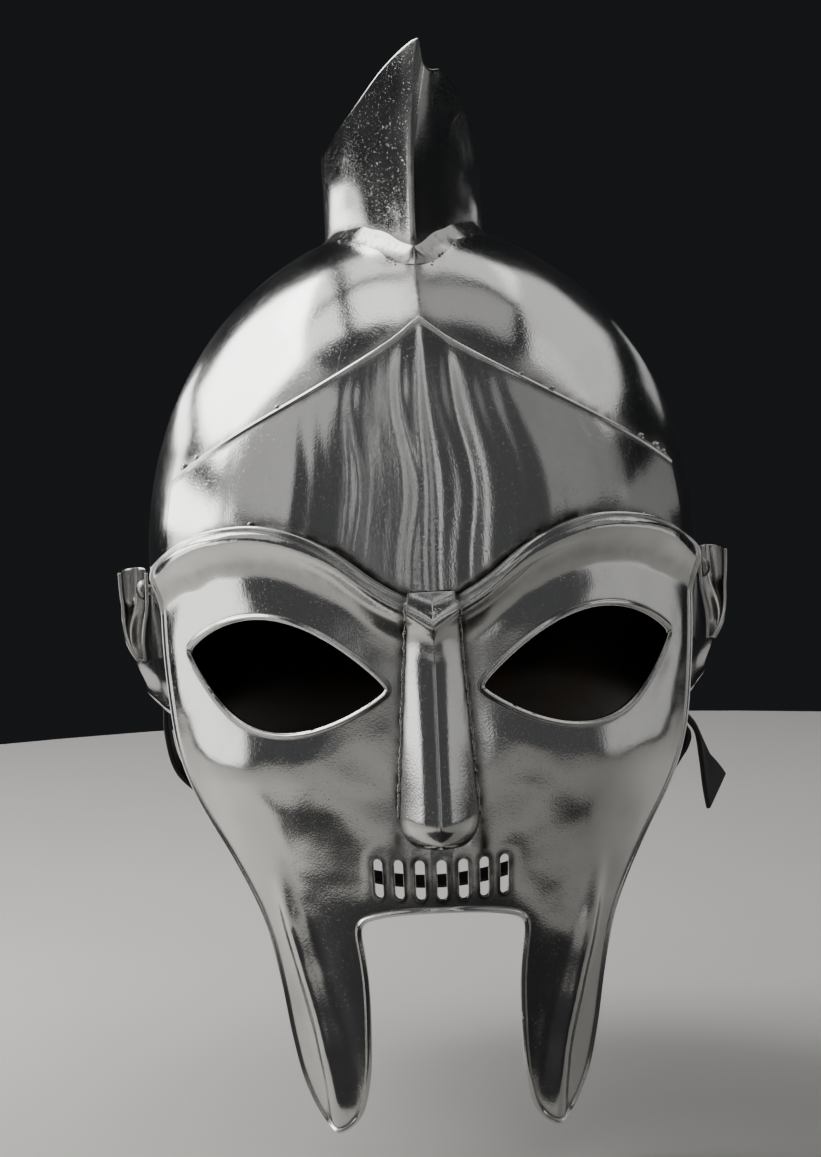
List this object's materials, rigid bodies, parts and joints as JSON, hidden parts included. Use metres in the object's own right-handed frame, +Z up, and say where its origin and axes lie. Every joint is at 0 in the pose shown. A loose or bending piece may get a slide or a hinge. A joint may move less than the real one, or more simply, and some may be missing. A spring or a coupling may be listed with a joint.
{
  "type": "gladiator helmet",
  "caption": "Polished steel gladiator helmet: round skull with flared neck guard, prow crest, peaked forehead sheet, full face plate with nose piece and long cheek guards, leather chin strap.",
  "frame": {"origin": "inside of the crown, where the top of the wearer's head bears", "axes": "+Z up out of the crown, the face looks along -Y, +X to the wearer's left"},
  "size_m": [0.2338, 0.2653, 0.3918],
  "materials": {
    "polished_steel": "hand-polished mild steel with fine brushing and dark creases",
    "rivet_steel": "satin, slightly tarnished",
    "black_leather": "dyed black, dull, with a burnished edge"
  },
  "bodies": {
    "root": {"skull": "polished_steel", "frontlet": "polished_steel", "face_plate": "polished_steel", "nasal": "polished_steel", "crest": "polished_steel", "ear_guard_left": "polished_steel", "ear_guard_right": "polished_steel", "ear_rivet_left": "rivet_steel", "ear_rivet_right": "rivet_steel", "buckle": "rivet_steel", "chin_strap": "black_leather", "buckle_strap": "black_leather"}
  },
  "joints": []
}
